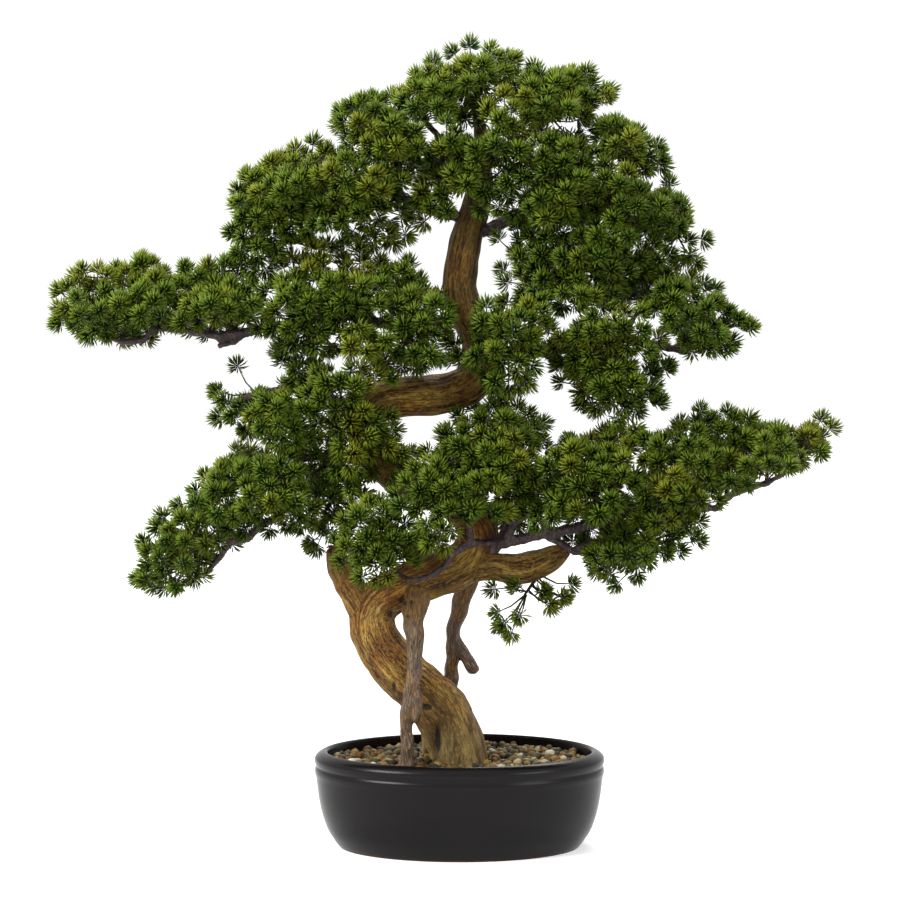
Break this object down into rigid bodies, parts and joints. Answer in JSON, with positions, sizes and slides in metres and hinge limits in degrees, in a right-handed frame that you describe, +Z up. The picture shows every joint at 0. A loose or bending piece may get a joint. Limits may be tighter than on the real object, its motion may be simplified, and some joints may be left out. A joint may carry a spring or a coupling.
{
  "type": "pine bonsai in an oval pot",
  "caption": "Pine bonsai with a twisting trunk, tufted needle pads and gravel, standing in a low oval glazed pot with a rolled rim.",
  "frame": {"origin": "centre of the pot's flat foot, on the surface that the pot stands on", "axes": "+Z up along the tree, +X to the right of its best view, +Y away from the viewer across the narrow side of the pot"},
  "size_m": [0.6351, 0.1922, 0.651],
  "materials": {
    "pot_glaze": "black satin glaze with a bare clay line at the foot",
    "soil_granules": "damp baked clay granules, hidden under the gravel",
    "gravel_stones": "rounded pea gravel in tan, ochre, olive and grey, lightly polished by water",
    "trunk_bark": "ochre and brown streaked old wood with fine long grain",
    "prop_bark": "rough grey-brown knobbly bark",
    "branch_bark": "dark purple-brown twisting bark",
    "pine_needles": "living green needles with paler tips, slightly waxy"
  },
  "bodies": {
    "root": {"pot": "pot_glaze", "soil": "soil_granules", "gravel": "gravel_stones", "trunk": "trunk_bark", "prop_front": "prop_bark", "prop_rear": "prop_bark", "branch_far_left": "branch_bark", "branch_middle_left": "branch_bark", "branch_low_left": "branch_bark", "branch_upper_left": "branch_bark", "branch_crown_left": "branch_bark", "branch_crown_right": "branch_bark", "branch_upper_right": "branch_bark", "branch_middle_right": "branch_bark", "branch_limb": "branch_bark", "spray_far_left_end": "pine_needles", "spray_far_left_middle": "pine_needles", "spray_far_left_inner": "pine_needles", "spray_upper_left_end": "pine_needles", "spray_upper_left_middle": "pine_needles", "spray_top_left": "pine_needles", "spray_top_left_low": "pine_needles", "spray_crown_left": "pine_needles", "spray_crown_top": "pine_needles", "spray_crown_right": "pine_needles", "spray_crown_front": "pine_needles", "spray_crown_inner": "pine_needles", "spray_right_top": "pine_needles", "spray_right_shoulder": "pine_needles", "spray_right_front": "pine_needles", "spray_right_inner": "pine_needles", "spray_right_under": "pine_needles", "spray_middle_right_end": "pine_needles", "spray_middle_right_top": "pine_needles", "spray_middle_right_front": "pine_needles", "spray_middle_right_low": "pine_needles", "spray_inner_right": "pine_needles", "spray_inner_right_front": "pine_needles", "spray_middle_left_inner": "pine_needles", "spray_middle_left_front": "pine_needles", "spray_middle_left_outer": "pine_needles", "spray_left_above_bend": "pine_needles", "spray_left_small": "pine_needles", "spray_low_left_end": "pine_needles", "spray_low_left_outer": "pine_needles", "spray_low_left_top": "pine_needles", "spray_low_left_front": "pine_needles", "spray_low_left_hanging": "pine_needles", "spray_limb_left": "pine_needles", "spray_limb_middle": "pine_needles", "spray_centre_top": "pine_needles", "spray_centre": "pine_needles", "spray_low_right_inner": "pine_needles", "spray_low_right_middle": "pine_needles", "spray_low_right_top": "pine_needles", "spray_far_right_inner": "pine_needles", "spray_far_right_middle": "pine_needles", "spray_far_right_end": "pine_needles", "spray_low_right_under": "pine_needles", "spray_drooping": "pine_needles"}
  },
  "joints": []
}
